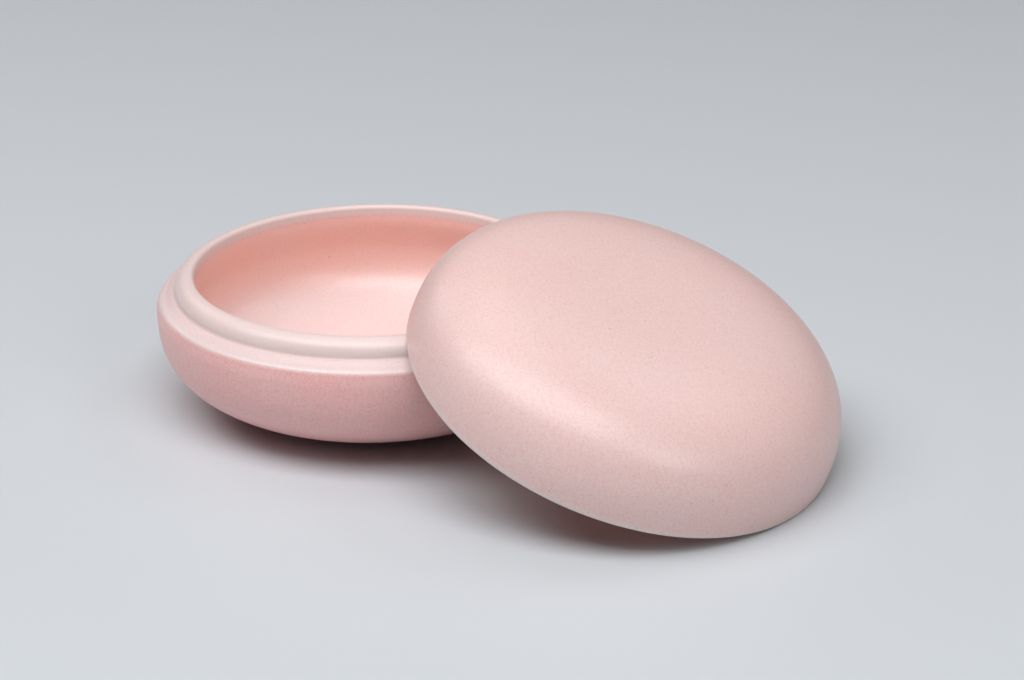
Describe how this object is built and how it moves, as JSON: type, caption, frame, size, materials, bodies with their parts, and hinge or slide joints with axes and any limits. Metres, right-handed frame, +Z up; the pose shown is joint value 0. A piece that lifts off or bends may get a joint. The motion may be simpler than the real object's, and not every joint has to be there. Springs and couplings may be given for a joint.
{
  "type": "bobbin box",
  "caption": "Round glazed ceramic box shaped like a pebble: a low bowl with a raised locating lip and a domed lid, shown leaning on the bowl.",
  "frame": {"origin": "centre of the bowl's foot, on the surface that the bowl stands on", "axes": "+Z up; +X from the bowl's centre towards the leaning lid; the XZ plane is the plane of symmetry"},
  "size_m": [0.1906, 0.115, 0.0576],
  "materials": {
    "pink_glaze": "satin pink glaze that breaks to cream along its edges"
  },
  "bodies": {
    "bowl": {"base": "pink_glaze"},
    "lid": {"lid": "pink_glaze"}
  },
  "joints": [
    {"name": "lid_lift", "type": "slide", "parent": "bowl", "child": "lid", "axis": [0, 0, 1], "range_m": [0, 0.06]}
  ]
}
